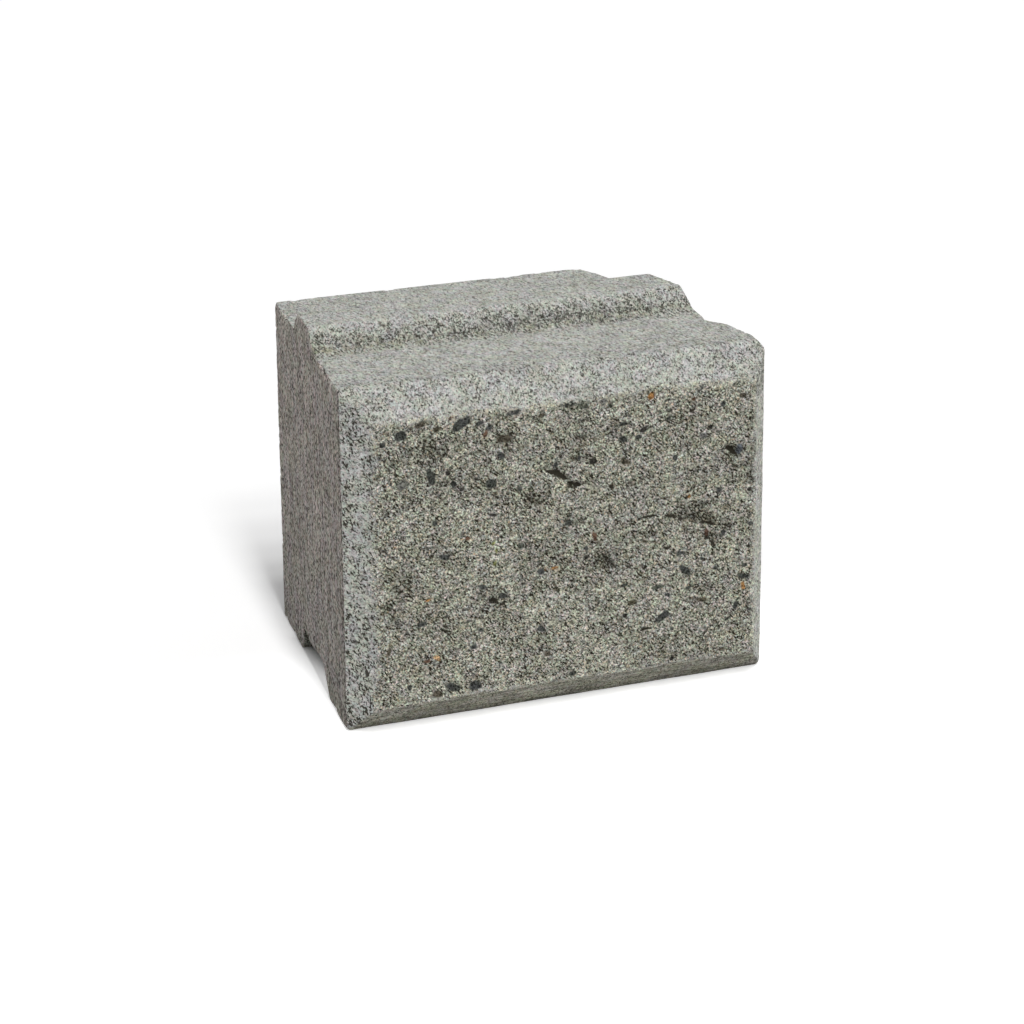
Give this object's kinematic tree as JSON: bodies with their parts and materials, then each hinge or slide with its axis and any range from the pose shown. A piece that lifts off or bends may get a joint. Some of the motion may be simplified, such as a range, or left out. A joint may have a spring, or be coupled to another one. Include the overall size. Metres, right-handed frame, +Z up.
{
  "type": "retaining wall block",
  "caption": "Tapered concrete retaining wall block with a bevelled split face, a tongue along its top and a matching groove underneath that keys each course to the next.",
  "frame": {"origin": "on the floor, at the middle of the block's box", "axes": "+X along the wall, -Y out of the split face, +Z up"},
  "size_m": [0.2596, 0.214, 0.2125],
  "materials": {
    "concrete": "dry-cast concrete with fine pits, the front split to show its sand and stones"
  },
  "bodies": {
    "root": {"wall_block": "concrete"}
  },
  "joints": []
}
